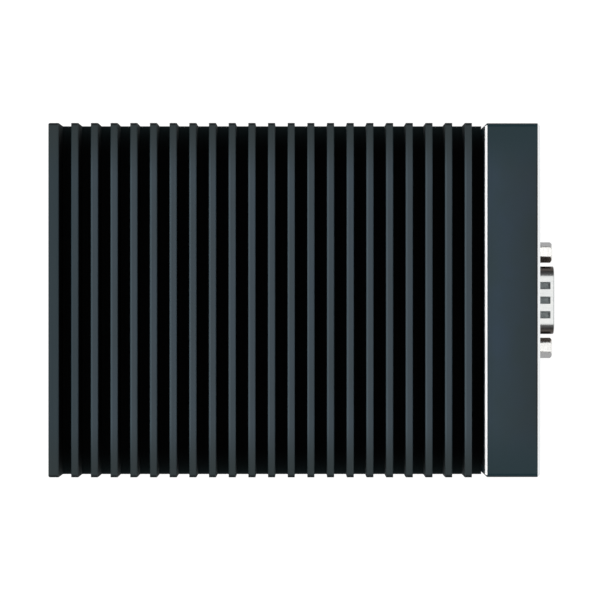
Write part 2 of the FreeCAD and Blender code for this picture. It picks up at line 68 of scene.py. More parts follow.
# Nodes and colours
def linear(code):
    # "#rrggbb" as written on screen, turned to scene light
    parts = [int(code[i:i + 2], 16) / 255 for i in (1, 3, 5)]
    return tuple(p / 12.92 if p <= 0.04045 else ((p + 0.055) / 1.055) ** 2.4 for p in parts) + (1,)


def addNode(tree, kind, settings=None, links=None):
    # settings go to an input by its name or number, or else to the node itself
    node = tree.nodes.new(kind)
    for name, value in (settings or {}).items():
        if isinstance(name, str) and name not in node.inputs:
            setattr(node, name, value)
    for name, value in (settings or {}).items():
        if not isinstance(name, str) or name in node.inputs:
            node.inputs[name].default_value = value
    for name, source in (links or {}).items():
        tree.links.new(source, node.inputs[name])
    return node


def newMaterial(name):
    material = bpy.data.materials.new(name)
    material.use_nodes = True
    material.node_tree.nodes.clear()
    return material, material.node_tree


def noiseAt(tree, coords, grain, detail=3.0, roughness=0.55):
    # grain is the size of the pattern along x, y and z in millimetres
    scale = tuple(1 / (size * mm) for size in grain)
    placed = addNode(tree, "ShaderNodeMapping", {"Scale": scale}, {"Vector": coords})
    return addNode(tree, "ShaderNodeTexNoise",
                   {"Scale": 1.0, "Detail": detail, "Roughness": roughness},
                   {"Vector": placed.outputs[0]}).outputs["Fac"]


# Part of the noise that is spread over a finish's colours and roughness, and the bump's strength
patchSpread = (0.32, 0.68)
grainSpread = (0.25, 0.75)
bumpStrength = 0.5


def finish(name, look):
    # One finish: two close colours mixed in soft patches, a grain in roughness and bump
    material, tree = newMaterial(name)
    coords = addNode(tree, "ShaderNodeTexCoord").outputs["Object"]
    patches = noiseAt(tree, coords, look["patch"])
    spread = addNode(tree, "ShaderNodeMapRange", {1: patchSpread[0], 2: patchSpread[1]},
                     {0: patches})
    colour = addNode(tree, "ShaderNodeMix", {"data_type": "RGBA", 6: linear(look["colours"][0]),
                     7: linear(look["colours"][1])}, {0: spread.outputs[0]}).outputs[2]
    grain = noiseAt(tree, coords, look["grain"], look.get("detail", 2.0))
    rough = addNode(tree, "ShaderNodeMapRange",
                    {1: grainSpread[0], 2: grainSpread[1], 3: look["rough"][0],
                     4: look["rough"][1]}, {0: grain})
    relief = look["relief"](tree, coords, grain) if "relief" in look else grain
    bump = addNode(tree, "ShaderNodeBump",
                   {"Strength": bumpStrength, "Distance": look["height"] * mm},
                   {"Height": relief})
    # The shade functions paint light and shade into the colour
    if "shade" in look:
        colour = look["shade"](tree, coords, colour)
    shader = addNode(tree, "ShaderNodeBsdfPrincipled",
                     {"Metallic": look.get("metal", 0.0), **look.get("extra", {})},
                     {"Base Color": colour, "Roughness": rough.outputs[0],
                      "Normal": bump.outputs[0]})
    addNode(tree, "ShaderNodeOutputMaterial", {}, {"Surface": shader.outputs[0]})
    return material


# Where the painted shades and highlights below start and stop, in millimetres
finRow = {"pitch": 5.0, "height": 12.5, "firstEdge": 40.65, "line": 0.55,
          "rearFade": (-53.0, -62.5)}
finEnds = {"shade": 15.0, "fall": 0.7, "drop": -35.0, "edge": 0.9}
bezelEnds = {"edge": 0.5, "fade": (49.0, 60.0), "band": (1.15, 0.85), "grey": (50.0, 55.0),
             "paintedDarkBack": (0.17, 0.11)}
channelEnds = {"depth": 5.0, "mouth": 7.0, "past": 0.5}

housingLow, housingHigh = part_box("heatsink_housing")
bezelLow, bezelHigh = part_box("front_bezel")
finTop = housingHigh.z
channelFloor = finTop - finRow["height"] * mm
sideFace = housingHigh.y


def towards(tree, colour, other, amount):
    return addNode(tree, "ShaderNodeMix", {"data_type": "RGBA", 7: linear(other)},
                   {0: amount, 6: colour}).outputs[2]


def fromMiddle(tree, vector):
    # How far the vector points to either side
    aside = addNode(tree, "ShaderNodeSeparateXYZ", {}, {0: vector}).outputs["Y"]
    return addNode(tree, "ShaderNodeMath", {"operation": "ABSOLUTE"}, {0: aside}).outputs[0]


def endShade(tree, coords, colour, deep, edgeWidth):
    # Painted shade over the last 15 mm towards the sawn ends, as the sheen falls off, most of all
    # along the very edge
    out = fromMiddle(tree, coords)
    wide = addNode(tree, "ShaderNodeMapRange", {"interpolation_type": "SMOOTHSTEP",
                   1: sideFace - finEnds["shade"] * mm, 2: sideFace - mm}, {0: out}).outputs[0]
    edge = addNode(tree, "ShaderNodeMapRange", {1: sideFace - edgeWidth * mm, 2: sideFace,
                   4: 0.9}, {0: out}).outputs[0]
    return towards(tree, towards(tree, colour, deep, wide), "#020405", edge)


def endRelief(tree, coords, grain):
    # The fins' ends look softly broken: in bump, the surface falls away over the last 0.7 mm
    along = addNode(tree, "ShaderNodeMapRange",
                    {1: sideFace - finEnds["fall"] * mm, 2: sideFace},
                    {0: fromMiddle(tree, coords)}).outputs[0]
    fall = addNode(tree, "ShaderNodeMath", {"operation": "MULTIPLY"}, {0: along, 1: along})
    return addNode(tree, "ShaderNodeMath", {"operation": "MULTIPLY_ADD", 1: finEnds["drop"]},
                   {0: fall.outputs[0], 2: grain}).outputs[0]


def finShade(tree, coords, colour):
    # A painted highlight runs as a lighter line along one edge of each fin, and the rear wall has
    # painted shade
    place = addNode(tree, "ShaderNodeSeparateXYZ", {}, {0: coords}).outputs["X"]
    start = finRow["firstEdge"] % finRow["pitch"] * mm
    edge = addNode(tree, "ShaderNodeMath", {"operation": "SUBTRACT", 1: start}, {0: place})
    edge = addNode(tree, "ShaderNodeMath", {"operation": "FLOORED_MODULO",
                   1: finRow["pitch"] * mm}, {0: edge.outputs[0]}).outputs[0]
    line = addNode(tree, "ShaderNodeMapRange", {1: finRow["line"] * mm,
                   2: 0.6 * finRow["line"] * mm, 4: 0.8}, {0: edge}).outputs[0]
    near, far = finRow["rearFade"]
    rear = addNode(tree, "ShaderNodeMapRange", {1: near * mm, 2: far * mm},
                   {0: place}).outputs[0]
    lined = towards(tree, colour, "#36474f", line)
    rearward = towards(tree, lined, "#002029", rear)
    return endShade(tree, coords, rearward, "#001a1e", finEnds["edge"])


def bezelShade(tree, coords, colour):
    # Painted shade: a little darker towards the front, with a dark band just behind the bright
    # rim, and darker ends
    place = addNode(tree, "ShaderNodeSeparateXYZ", {}, {0: coords}).outputs["X"]
    near, far = bezelEnds["fade"]
    front = addNode(tree, "ShaderNodeMapRange", {1: near * mm, 2: far * mm, 4: 0.5},
                    {0: place}).outputs[0]
    near, far = bezelEnds["band"]
    rim = addNode(tree, "ShaderNodeMapRange", {1: bezelHigh.x - near * mm,
                  2: bezelHigh.x - far * mm}, {0: place}).outputs[0]
    banded = towards(tree, towards(tree, colour, "#0b1417", front), "#010203", rim)
    return endShade(tree, coords, banded, "#0d282f", bezelEnds["edge"])


def channelShade(tree, coords, colour):
    # Painted shade makes it deeper black down between the fins, and painted light makes it paler
    # again by the open ends
    height = addNode(tree, "ShaderNodeSeparateXYZ", {}, {0: coords}).outputs["Z"]
    fade = addNode(tree, "ShaderNodeMapRange",
                   {1: finTop, 2: finTop - channelEnds["depth"] * mm}, {0: height}).outputs[0]
    ends = addNode(tree, "ShaderNodeMapRange", {"interpolation_type": "SMOOTHSTEP",
                   1: sideFace - channelEnds["mouth"] * mm,
                   2: sideFace + channelEnds["past"] * mm},
                   {0: fromMiddle(tree, coords)}).outputs[0]
    return towards(tree, towards(tree, colour, "#050709", fade), "#1c2628", ends)


def shellShade(tree, coords, colour):
    # Painted shade on the reflections: the round ends of the D are darker, and the cut lip is
    # greyer than the wall
    facing = addNode(tree, "ShaderNodeNewGeometry").outputs["Normal"]
    ahead = addNode(tree, "ShaderNodeSeparateXYZ", {}, {0: facing}).outputs["X"]
    amount = addNode(tree, "ShaderNodeMapRange", {1: 0.28, 2: 0.6},
                     {0: fromMiddle(tree, facing)}).outputs[0]
    lip = addNode(tree, "ShaderNodeMapRange", {1: 0.2, 2: 0.5, 4: 0.8}, {0: ahead}).outputs[0]
    return towards(tree, towards(tree, colour, "#8b9090", lip), "#4b4643", amount)


def lockShade(tree, coords, colour):
    # Painted shade on the flats: those that face the shell are a warmer grey, and the outer ones a
    # darker grey
    facing = addNode(tree, "ShaderNodeNewGeometry").outputs["Normal"]
    side = addNode(tree, "ShaderNodeSeparateXYZ", {}, {0: facing}).outputs["Y"]
    place = addNode(tree, "ShaderNodeSeparateXYZ", {}, {0: coords}).outputs["Y"]
    half = addNode(tree, "ShaderNodeMath", {"operation": "SIGN"}, {0: place}).outputs[0]
    out = addNode(tree, "ShaderNodeMath", {"operation": "MULTIPLY"}, {0: side, 1: half})
    inward = addNode(tree, "ShaderNodeMapRange", {1: -0.3, 2: -0.7}, {0: out.outputs[0]})
    outward = addNode(tree, "ShaderNodeMapRange", {1: 0.3, 2: 0.8, 4: 0.8}, {0: out.outputs[0]})
    outerShaded = towards(tree, colour, "#8b8b8d", outward.outputs[0])
    return towards(tree, outerShaded, "#a39a92", inward.outputs[0])


def rimShade(tree, coords, colour):
    # Painted shade on the bright cut: the line behind is narrower, because its lowest 0.14 mm is
    # painted dark, and the front rim is painted a shade greyer
    place = addNode(tree, "ShaderNodeSeparateXYZ", {}, {0: coords}).outputs["X"]
    near, far = bezelEnds["paintedDarkBack"]
    paintedDarkBack = addNode(tree, "ShaderNodeMapRange", {1: bezelLow.x + near * mm,
                     2: bezelLow.x + far * mm}, {0: place}).outputs[0]
    near, far = bezelEnds["grey"]
    front = addNode(tree, "ShaderNodeMapRange", {1: near * mm, 2: far * mm},
                    {0: place}).outputs[0]
    return towards(tree, towards(tree, colour, "#0b1013", paintedDarkBack), "#e0e2e3", front)


# Extruded aluminium, etched and black anodised: satin blue-black, with faint die lines about
# 0.35 mm apart that run along the fins
extrudedAnodise = finish("extrudedBlackAnodise", {
    "colours": ("#1d2e36", "#21333e"), "patch": (5, 30, 5), "grain": (0.35, 40, 0.35),
    "rough": (0.36, 0.46), "height": 0.012, "shade": finShade, "relief": endRelief,
    "extra": {"Specular IOR Level": 0.36}})

# The same anodise between the fins: a matt copy, painted nearly black as a painted shade
shadedChannelAnodise = finish("channelPaintedShadeAnodise", {
    "colours": ("#10161a", "#141b20"), "patch": (14, 45, 14), "grain": (0.35, 40, 0.35),
    "rough": (0.75, 0.88), "height": 0.01, "shade": channelShade,
    "extra": {"Specular IOR Level": 0.1}})

# Bead-blasted and black anodised aluminium: an even satin with no direction, whose grain is
# drawn at 0.3 mm so that it shows
blastedAnodise = finish("blastedBlackAnodise", {
    "colours": ("#1d3036", "#203340"), "patch": (9, 16, 9), "grain": (0.3, 0.3, 0.3),
    "rough": (0.40, 0.48), "height": 0.008, "shade": bezelShade,
    "extra": {"Specular IOR Level": 0.24}})

# Aluminium cut bare after anodising: white and bright, with cutter lines 0.15 mm apart
brightCut = finish("brightCutAluminium", {
    "colours": ("#fafafa", "#ffffff"), "patch": (6, 20, 6), "grain": (0.15, 18, 0.15),
    "rough": (0.34, 0.44), "height": 0.002, "metal": 1.0, "shade": rimShade})

# Fine-texture black powder coat on steel: a soft orange peel about 0.5 mm across
powderCoat = finish("blackPowderCoat", {
    "colours": ("#1c1f21", "#222528"), "patch": (7, 7, 7), "grain": (0.5, 0.5, 0.5),
    "rough": (0.48, 0.62), "height": 0.02, "detail": 3.0, "extra": {"IOR": 1.5}})

# Moulded nitrile rubber: dull and slightly grey, with a spark-eroded grain of 0.3 mm
mouldedRubber = finish("mouldedBlackRubber", {
    "colours": ("#1a1a1b", "#222223"), "patch": (2.5, 2.5, 2.5), "grain": (0.3, 0.3, 0.3),
    "rough": (0.75, 0.9), "height": 0.02, "extra": {"IOR": 1.52, "Specular IOR Level": 0.35}})

# Bright nickel plate over drawn steel: warm white reflections with faint drawing marks
brightNickel = finish("brightNickelPlate", {
    "colours": ("#b2b4b4", "#b9bab8"), "patch": (3, 3, 3), "grain": (4, 0.25, 0.25),
    "rough": (0.16, 0.26), "height": 0.003, "metal": 1.0, "shade": shellShade})

# Nickel in the pressed dents: of low gloss, and painted greyer than the drawn wall round them as a
# painted shade
pressedNickel = finish("pressedDullNickel", {
    "colours": ("#888f91", "#9ba2a1"), "patch": (1.2, 0.8, 1.2), "grain": (0.8, 0.2, 0.2),
    "rough": (0.60, 0.72), "height": 0.004, "metal": 0.8})

# Free-cutting steel turned from hexagon bar and nickel plated: fine rings 0.1 mm apart
turnedNickel = finish("turnedNickelPlate", {
    "colours": ("#dad9d6", "#e6e5e2"), "patch": (2, 2, 2), "grain": (0.12, 3, 3),
    "rough": (0.18, 0.30), "height": 0.003, "metal": 0.85, "shade": lockShade})

# Matt tin plate on stamped steel: soft grey-white with a faint bloom
tinPlate = finish("tinPlatedSteel", {
    "colours": ("#aeb1b1", "#b7b9b8"), "patch": (3.5, 3.5, 3.5), "grain": (0.25, 0.25, 0.25),
    "rough": (0.28, 0.38), "height": 0.003, "metal": 1.0})

# Black zinc plate on steel screws: a dark, slightly oily sheen
blackZinc = finish("blackZincPlate", {
    "colours": ("#1b1b1e", "#26262a"), "patch": (1.2, 1.2, 1.2), "grain": (0.15, 0.15, 0.15),
    "rough": (0.30, 0.42), "height": 0.004, "metal": 0.6})

# Hard gold over nickel on contacts
hardGold = finish("hardGoldPlate", {
    "colours": ("#e3b765", "#eec77c"), "patch": (1, 1, 1), "grain": (0.1, 0.1, 0.1),
    "rough": (0.16, 0.26), "height": 0.002, "metal": 1.0})

# Glass-fibre board under green solder mask: the weave shows through at 0.45 mm
solderMask = finish("greenSolderMask", {
    "colours": ("#0f3a22", "#14482b"), "patch": (5, 5, 5), "grain": (0.45, 0.45, 0.45),
    "rough": (0.28, 0.42), "height": 0.01, "extra": {"IOR": 1.52}})

# Milled aluminium, bare: cutter marks 0.4 mm apart
milledAluminium = finish("milledAluminium", {
    "colours": ("#c4c6c8", "#d2d4d6"), "patch": (8, 8, 8), "grain": (0.4, 6, 6),
    "rough": (0.28, 0.40), "height": 0.006, "metal": 1.0})

# Silicone heat pad: soft, chalky blue-grey
siliconePad = finish("siliconeHeatPad", {
    "colours": ("#7f8d9c", "#8f9dab"), "patch": (4, 4, 4), "grain": (0.3, 0.3, 0.3),
    "rough": (0.7, 0.85), "height": 0.02, "extra": {"IOR": 1.41}})

# Injection-moulded polyester, black: satin, with an eroded grain of 0.25 mm
mouldedPolyester = finish("mouldedBlackPolyester", {
    "colours": ("#161617", "#1d1d1f"), "patch": (3, 3, 3), "grain": (0.25, 0.25, 0.25),
    "rough": (0.42, 0.55), "height": 0.01, "extra": {"IOR": 1.57}})

# Injection-moulded black nylon of the plugs: darker and smoother than the polyester
mouldedNylon = finish("mouldedBlackNylon", {
    "colours": ("#0c0c0d", "#111113"), "patch": (2.5, 2.5, 2.5), "grain": (0.2, 0.2, 0.2),
    "rough": (0.30, 0.40), "height": 0.004, "extra": {"IOR": 1.53, "Specular IOR Level": 0.4}})

# Moulded acrylic light pipe, frosted at its end: milky white, soft and even
frostedAcrylic = finish("frostedAcrylic", {
    "colours": ("#cfd6d8", "#d8dedf"), "patch": (3, 3, 3), "grain": (0.15, 0.15, 0.15),
    "rough": (0.30, 0.42), "height": 0.002,
    "extra": {"IOR": 1.49, "Transmission Weight": 0.3}})

finishes = {
    "heatsink_housing": extrudedAnodise, "front_bezel": blastedAnodise, "io_panel": powderCoat,
    "bottom_cover": powderCoat, "mount_nut": tinPlate, "panel_nut": tinPlate,
    "lower_standoff": tinPlate, "upper_standoff": tinPlate, "cover_screw": blackZinc,
    "panel_screw": blackZinc, "foot": mouldedRubber, "mainboard": solderMask,
    "processor": mouldedPolyester, "thermal_pad": siliconePad, "thermal_block": milledAluminium,
    "serial_shell": brightNickel, "serial_insulator": mouldedPolyester, "serial_pins": hardGold,
    "screwlock": turnedNickel, "usb_shell": tinPlate, "usb_tongue": mouldedPolyester,
    "power_button": mouldedPolyester, "power_switch": mouldedPolyester,
    "light_pipe": frostedAcrylic, "antenna_plug": mouldedNylon, "network_jack": tinPlate,
    "video_shell": tinPlate, "video_tongue": mouldedPolyester, "power_inlet": mouldedPolyester,
    "power_inlet_pin": turnedNickel, "memory_socket": mouldedPolyester,
    "memory_module": solderMask, "storage_module": solderMask, "board_parts": mouldedPolyester}

for name, node in nodes.items():
    kind = name if name in finishes else name.rstrip("0123456789").rstrip("_")
    node.data.materials.clear()
    node.data.materials.append(finishes[kind])
print("finishes on the solids:", len(finishes))


# Heatsink: the faces between the fins take the channel copy of the anodise, whose darker colour is
# painted shade
near = 0.1 * mm
housing = nodes["heatsink_housing"].data
housing.materials.append(shadedChannelAnodise)
for face in housing.polygons:
    between = face.center.z > channelFloor - near and abs(face.normal.y) < 0.5
    level = face.center.z < channelFloor + near
    wall = abs(face.normal.x) > 0.9 and housingLow.x + mm < face.center.x
    if between and (level or wall) and face.center.x < bezelLow.x + near:
        face.material_index = 1

# Bezel: the chamfer is cut bright all round the front rim, and along the top and bottom behind
rimReach = 0.7 * mm
bezel = nodes["front_bezel"].data
bezel.materials.append(brightCut)
for face in bezel.polygons:
    rim = min(abs(face.center.x - x) for x in (bezelLow.x, bezelHigh.x))
    if 0.3 < abs(face.normal.x) < 0.9 and rim < rimReach:
        level = face.center.z > bezelHigh.z - mm or face.center.z < bezelLow.z + mm
        upright = abs(face.center.y) > bezelHigh.y - mm
        ahead = face.normal.x > 0
        if (ahead and (level or upright)) or (level and abs(face.normal.y) < 0.3):
            face.material_index = 1
print("channels and bright-cut rims set")

# Network jacks: a black moulding shows inside the tin-plated shield
jackSkin = 0.5 * mm
for name in ("network_jack_1", "network_jack_2"):
    jack = nodes[name].data
    jack.materials.append(mouldedPolyester)
    low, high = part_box(name)
    for face in jack.polygons:
        if all(low[i] + jackSkin < face.center[i] < high[i] - jackSkin for i in range(3)):
            face.material_index = 1


# Shapes from outlines
def addObject(name, mesh):
    thing = bpy.data.objects.new(name, mesh)
    scene.collection.objects.link(thing)
    return thing


def skin(name, rings, closed=False, smooth=35):
    # Closed surface through outlines that have as many points; a single point closes an end
    mesh = bpy.data.meshes.new(name)
    shape = bmesh.new()
    rows = [[shape.verts.new(point) for point in ring] for ring in rings]
    pairs = list(zip(rows, rows[1:])) + ([(rows[-1], rows[0])] if closed else [])
    for first, second in pairs:
        count = max(len(first), len(second))
        for i in range(count):
            corners = [first[i % len(first)], first[(i + 1) % len(first)],
                       second[(i + 1) % len(second)], second[i % len(second)]]
            shape.faces.new(list(dict.fromkeys(corners)))
    bmesh.ops.recalc_face_normals(shape, faces=shape.faces)
    shape.to_mesh(mesh)
    shape.free()
    mesh.polygons.foreach_set("use_smooth", [True] * len(mesh.polygons))
    mesh.set_sharp_from_angle(angle=math.radians(smooth))
    return mesh


def circle(x, radius, sides=48):
    # Outline round the x axis
    if radius == 0:
        return [(x * mm, 0, 0)]
    turns = [2 * math.pi * i / sides for i in range(sides)]
    return [(x * mm, radius * math.cos(a) * mm, radius * math.sin(a) * mm) for a in turns]


def hexagon(x, width, limit, turn=0.0, sides=96):
    # Six-sided outline whose corners are turned down to the radius limit
    points = []
    for i in range(sides):
        a = 2 * math.pi * i / sides
        off = (a - math.radians(turn)) % (math.pi / 3) - math.pi / 6
        radius = min(width / 2 / math.cos(off), limit)
        points.append((x * mm, radius * math.cos(a) * mm, radius * math.sin(a) * mm))
    return points


def turned(name, profile, sides=48, smooth=35):
    # profile runs along x as (place, radius) in millimetres
    return skin(name, [circle(x, radius, sides) for x, radius in profile], smooth=smooth)


def rounded(x, radius, edge, steps):
    # Quarter round of the given edge radius that ends on a flat face at x
    turns = [math.radians(90 * i / steps) for i in range(steps + 1)]
    return [(x - edge + edge * math.sin(a), radius - edge + edge * math.cos(a)) for a in turns]


# Repeats: one tree places a piece at each point, or in a row from it
def repeatTree():
    tree = bpy.data.node_groups.new("repeatPiece", "GeometryNodeTree")
    labels = (("Places", "NodeSocketGeometry"), ("Piece", "NodeSocketObject"),
              ("Count", "NodeSocketInt"), ("Step", "NodeSocketVector"),
              ("Axis", "NodeSocketVector"), ("Turn", "NodeSocketFloat"),
              ("Seed", "NodeSocketInt"), ("Finish", "NodeSocketMaterial"))
    for label, kind in labels:
        tree.interface.new_socket(label, in_out="INPUT", socket_type=kind)
    tree.interface.new_socket("Geometry", in_out="OUTPUT", socket_type="NodeSocketGeometry")
    given = addNode(tree, "NodeGroupInput").outputs
    piece = addNode(tree, "GeometryNodeObjectInfo", {"As Instance": True},
                    {"Object": given["Piece"]})
    row = addNode(tree, "GeometryNodeMeshLine", {}, {"Count": given["Count"],
                                                     "Offset": given["Step"]})
    line = addNode(tree, "GeometryNodeInstanceOnPoints", {},
                   {"Points": row.outputs[0], "Instance": piece.outputs["Geometry"]})
    angle = addNode(tree, "FunctionNodeRandomValue", {"data_type": "FLOAT", 2: 0.0},
                    {3: given["Turn"], "Seed": given["Seed"]})
    spin = addNode(tree, "FunctionNodeAxisAngleToRotation", {},
                   {"Axis": given["Axis"], "Angle": angle.outputs[1]})
    placed = addNode(tree, "GeometryNodeInstanceOnPoints", {},
                     {"Points": given["Places"], "Instance": line.outputs[0],
                      "Rotation": spin.outputs[0]})
    real = addNode(tree, "GeometryNodeRealizeInstances", {}, {0: placed.outputs[0]})
    made = addNode(tree, "GeometryNodeSetMaterial", {},
                   {"Geometry": real.outputs[0], "Material": given["Finish"]})
    addNode(tree, "NodeGroupOutput", {}, {0: made.outputs[0]})
    return tree


repeatPiece = repeatTree()


def repeat(name, mesh, places, material, count=1, step=(0, 0, 0), axis=(1, 0, 0), turn=0.0,
           seed=3):
    # The repeated piece as one plain mesh
    sample = addObject(name + "Sample", mesh)
    points = bpy.data.meshes.new(name + "Places")
    points.from_pydata([tuple(place) for place in places], [], [])
    thing = addObject(name, points)
    modifier = thing.modifiers.new("repeat", "NODES")
    modifier.node_group = repeatPiece
    given = {"Piece": sample, "Count": count, "Step": step, "Axis": axis, "Turn": turn,
             "Seed": seed, "Finish": material}
    for item in repeatPiece.interface.items_tree:
        if item.name in given:
            modifier[item.identifier] = given[item.name]
    depsgraph = bpy.context.evaluated_depsgraph_get()
    made = bpy.data.meshes.new_from_object(thing.evaluated_get(depsgraph))
    thing.modifiers.remove(modifier)
    thing.data = made
    bpy.data.objects.remove(sample)
    return thing


def middle(node):
    low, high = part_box(node)
    return (low + high) / 2


def fit(thing, body, slot, *replaced):
    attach(thing, body)
    if replaced:
        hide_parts(*replaced)
    print("made", thing.name)


# Serial connector: a drawn D-shaped shell with three dents on each long side
serialShell = {
    "width": 17.7, "height": 9.15, "corner": 3.0, "slope": 10.0, "wall": 0.4, "lip": 0.18,
    "spacing": 0.16, "flange": (30.8, 12.5), "flangeCorner": 1.5, "flangeThickness": 0.5,
    "rootFlare": 0.35, "flareSteps": 4, "lipSteps": 6, "broken": 0.1, "short": 0.15, "dents": 3,
    "dentPitch": 3.81, "dentWidth": 1.9, "dentSlope": 0.5, "dentSink": 0.22, "dentFrom": 1.9,
    "dentTo": 4.9}


def outlinePoints(corners, radius, spacing):
    # Points and outward normals along a convex outline with rounded corners
    points = []
    count = len(corners)
    for i in range(count):
        before, here, after = (Vector(corners[(i + k) % count]) for k in (-1, 0, 1))
        enter, leave = (here - before).normalized(), (after - here).normalized()
        n1, n2 = Vector((enter.y, -enter.x)), Vector((leave.y, -leave.x))
        half = (n1 + n2).normalized()
        centre = here - half * radius / half.dot(n1)
        bend = n1.angle(n2)
        steps = max(3, math.ceil(radius * bend / spacing))
        for k in range(steps + 1):
            normal = Matrix.Rotation(bend * k / steps, 2) @ n1
            points.append((centre + normal * radius, normal))
        start = centre + n2 * radius
        following = Vector(corners[(i + 2) % count])
        onward = (following - after).normalized()
        n3 = Vector((onward.y, -onward.x))
        half = (n2 + n3).normalized()
        end = after - half * radius / half.dot(n2) + n2 * radius
        steps = math.ceil((end - start).length / spacing)
        points += [(start.lerp(end, k / steps), n2) for k in range(1, steps)]
    return points


def reach(outline, angle):
    # How far a ray from the middle goes to a convex outline
    ray = Vector((math.cos(angle), math.sin(angle)))
    side = Vector((-ray.y, ray.x))
    for (a, _), (b, _) in zip(outline, outline[1:] + outline[:1]):
        da, db = a.dot(side), b.dot(side)
        if (da <= 0 <= db or db <= 0 <= da) and da != db:
            hit = a.lerp(b, da / (da - db))
            if hit.dot(ray) > 0:
                return hit
    return outline[0][0]


def smoothStep(value):
    value = min(1.0, max(0.0, value))
    return value * value * (3 - 2 * value)


def makeSerialShell(s):
    slope = math.radians(s["slope"])
    top = s["width"] / 2 + s["corner"] * (math.tan(slope) + 1 / math.cos(slope) - 1)
    low = top - s["height"] * math.tan(slope)
    up = s["height"] / 2
    outline = outlinePoints([(low, -up), (top, up), (-top, up), (-low, -up)], s["corner"],
                            s["spacing"])
    wide, tall = (size / 2 for size in s["flange"])
    plate = outlinePoints([(wide, -tall), (wide, tall), (-wide, tall), (-wide, -tall)],
                          s["flangeCorner"], s["spacing"])
    rim = [reach(plate, math.atan2(point.y, point.x)) for point, _ in outline]

    centre = middle("serial_shell")
    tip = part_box("serial_shell")[1].x / mm - s["short"]
    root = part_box("io_panel")[0].x / mm
    back = root - s["flangeThickness"]
    rows = [(i - (s["dents"] - 1) / 2) * s["dentPitch"] for i in range(s["dents"])]

    def sink(x, y, normal):
        if abs(normal.y) < 0.999:
            return 0.0
        along = min(x - root - s["dentFrom"], s["dentTo"] - (x - root)) / s["dentSlope"]
        across = (s["dentWidth"] / 2 - min(abs(y - row) for row in rows)) / s["dentSlope"]
        return s["dentSink"] * smoothStep(along) * smoothStep(across)

    def ring(x, offset):
        made = []
        for point, normal in outline:
            p = point + normal * (offset - sink(x, point.x, normal))
            made.append((x * mm, p.x * mm + centre.y, p.y * mm + centre.z))
        return made

    def plateRing(x, grow):
        # The rim of the flange, its front edge broken by grow
        return [(x * mm, (p.x + math.copysign(grow, p.x)) * mm + centre.y,
                 (p.y + math.copysign(grow, p.y)) * mm + centre.z) for p in rim]

    rings = [plateRing(back, 0), plateRing(root - s["broken"], 0),
             plateRing(root, -s["broken"])]
    flare = s["rootFlare"]
    for i in range(s["flareSteps"] + 1):
        a = math.radians(90 * i / s["flareSteps"])
        rings.append(ring(root + flare * (1 - math.cos(a)), flare * (1 - math.sin(a))))
    start, stop = root + flare, tip - s["lip"]
    steps = math.ceil((stop - start) / s["spacing"])
    outer = [start + (stop - start) * i / steps for i in range(1, steps + 1)]
    rings += [ring(x, 0) for x in outer]
    for i in range(1, s["lipSteps"] + 1):
        a = math.radians(180 * i / s["lipSteps"])
        rings.append(ring(stop + s["lip"] * math.sin(a),
                          -(s["wall"] / 2) * (1 - math.cos(a))))
    rings += [ring(x, -s["wall"]) for x in reversed(outer[:-1])]
    rings.append(ring(back, -s["wall"]))
    mesh = skin("serialShell", rings, closed=True, smooth=50)
    mesh.materials.append(brightNickel)
    mesh.materials.append(pressedNickel)
    # Faces in the dents take the greyer nickel, a painted shade
    for face in mesh.polygons:
        x = face.center.x / mm
        y = face.center.y / mm
        z = (face.center.z - centre.z) / mm
        near = min(abs(y - row) for row in rows)
        outside = up + 0.05 > abs(z) > up - s["dentSink"] - 0.02
        inside = root + s["dentFrom"] < x < root + s["dentTo"] and near < s["dentWidth"] / 2
        if inside and outside and abs(face.normal.z) > 0.3:
            face.material_index = 1
    return mesh


shell = addObject("serialShell", makeSerialShell(serialShell))
fit(shell, "housing", "nickel", "serial_shell")

# Screwlocks: turned from hexagon bar, with a chamfered end and a threaded hole
screwlock = {"width": 4.76, "length": 4.8, "corner": 2.70, "tip": 2.30, "bevel": 0.45,
             "bevelSteps": 8, "bore": 1.13, "boreDepth": 4.4, "mouth": 1.42, "stud": 1.42,
             "studLength": 4.3, "studBevel": 0.2, "rearBevel": 0.1, "turns": (-8.0, -5.0),
             "threadPitch": 0.64, "threadDepth": 0.14, "threadFlat": 0.1, "drill": 0.2,
             "sides": 96}


def makeScrewlock(s, name, turn):
    # The hexagon stands on x = 0, with its stud behind
    across, sides = s["width"], s["sides"]
    end = -s["studLength"]
    rings = [circle(end, 0), circle(end, s["stud"] - s["studBevel"], sides),
             circle(end + s["studBevel"], s["stud"], sides), circle(0, s["stud"], sides),
             hexagon(0, across, s["corner"] - s["rearBevel"], turn),
             hexagon(s["rearBevel"], across, s["corner"], turn)]
    for i in range(s["bevelSteps"] + 1):
        share = i / s["bevelSteps"]
        x = s["length"] - s["bevel"] * (1 - share)
        limit = s["corner"] - (s["corner"] - s["tip"]) * share ** 1.4
        rings.append(hexagon(x, across, limit, turn))
    rings.append(circle(s["length"], s["mouth"], sides))
    x = s["length"] - (s["mouth"] - s["bore"])
    deep = s["length"] - s["boreDepth"]
    while x > deep + s["threadPitch"]:
        rings += [circle(x, s["bore"], sides), circle(x - s["threadFlat"], s["bore"], sides),
                  circle(x - s["threadPitch"] / 2, s["bore"] + s["threadDepth"], sides)]
        x -= s["threadPitch"]
    rings += [circle(deep, s["bore"], sides), circle(deep - s["drill"], 0)]
    return skin(name, rings, smooth=28)


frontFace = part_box("io_panel")[1].x
for number, turn in enumerate(screwlock["turns"], 1):
    node = "screwlock_%d" % number
    name = "screwlock%d" % number
    lock = addObject(name, makeScrewlock(screwlock, name, turn))
    place = middle(node)
    lock.data.transform(Matrix.Translation((frontFace, place.y, place.z)))
    lock.data.materials.append(turnedNickel)
    fit(lock, "housing", "nickel", node)

# Contact pins of the serial connector: five over four, turned with round ends
serialPin = {"pitch": 2.77, "row": 2.84, "radius": 0.5, "edge": 0.49, "length": 4.8, "sides": 24}

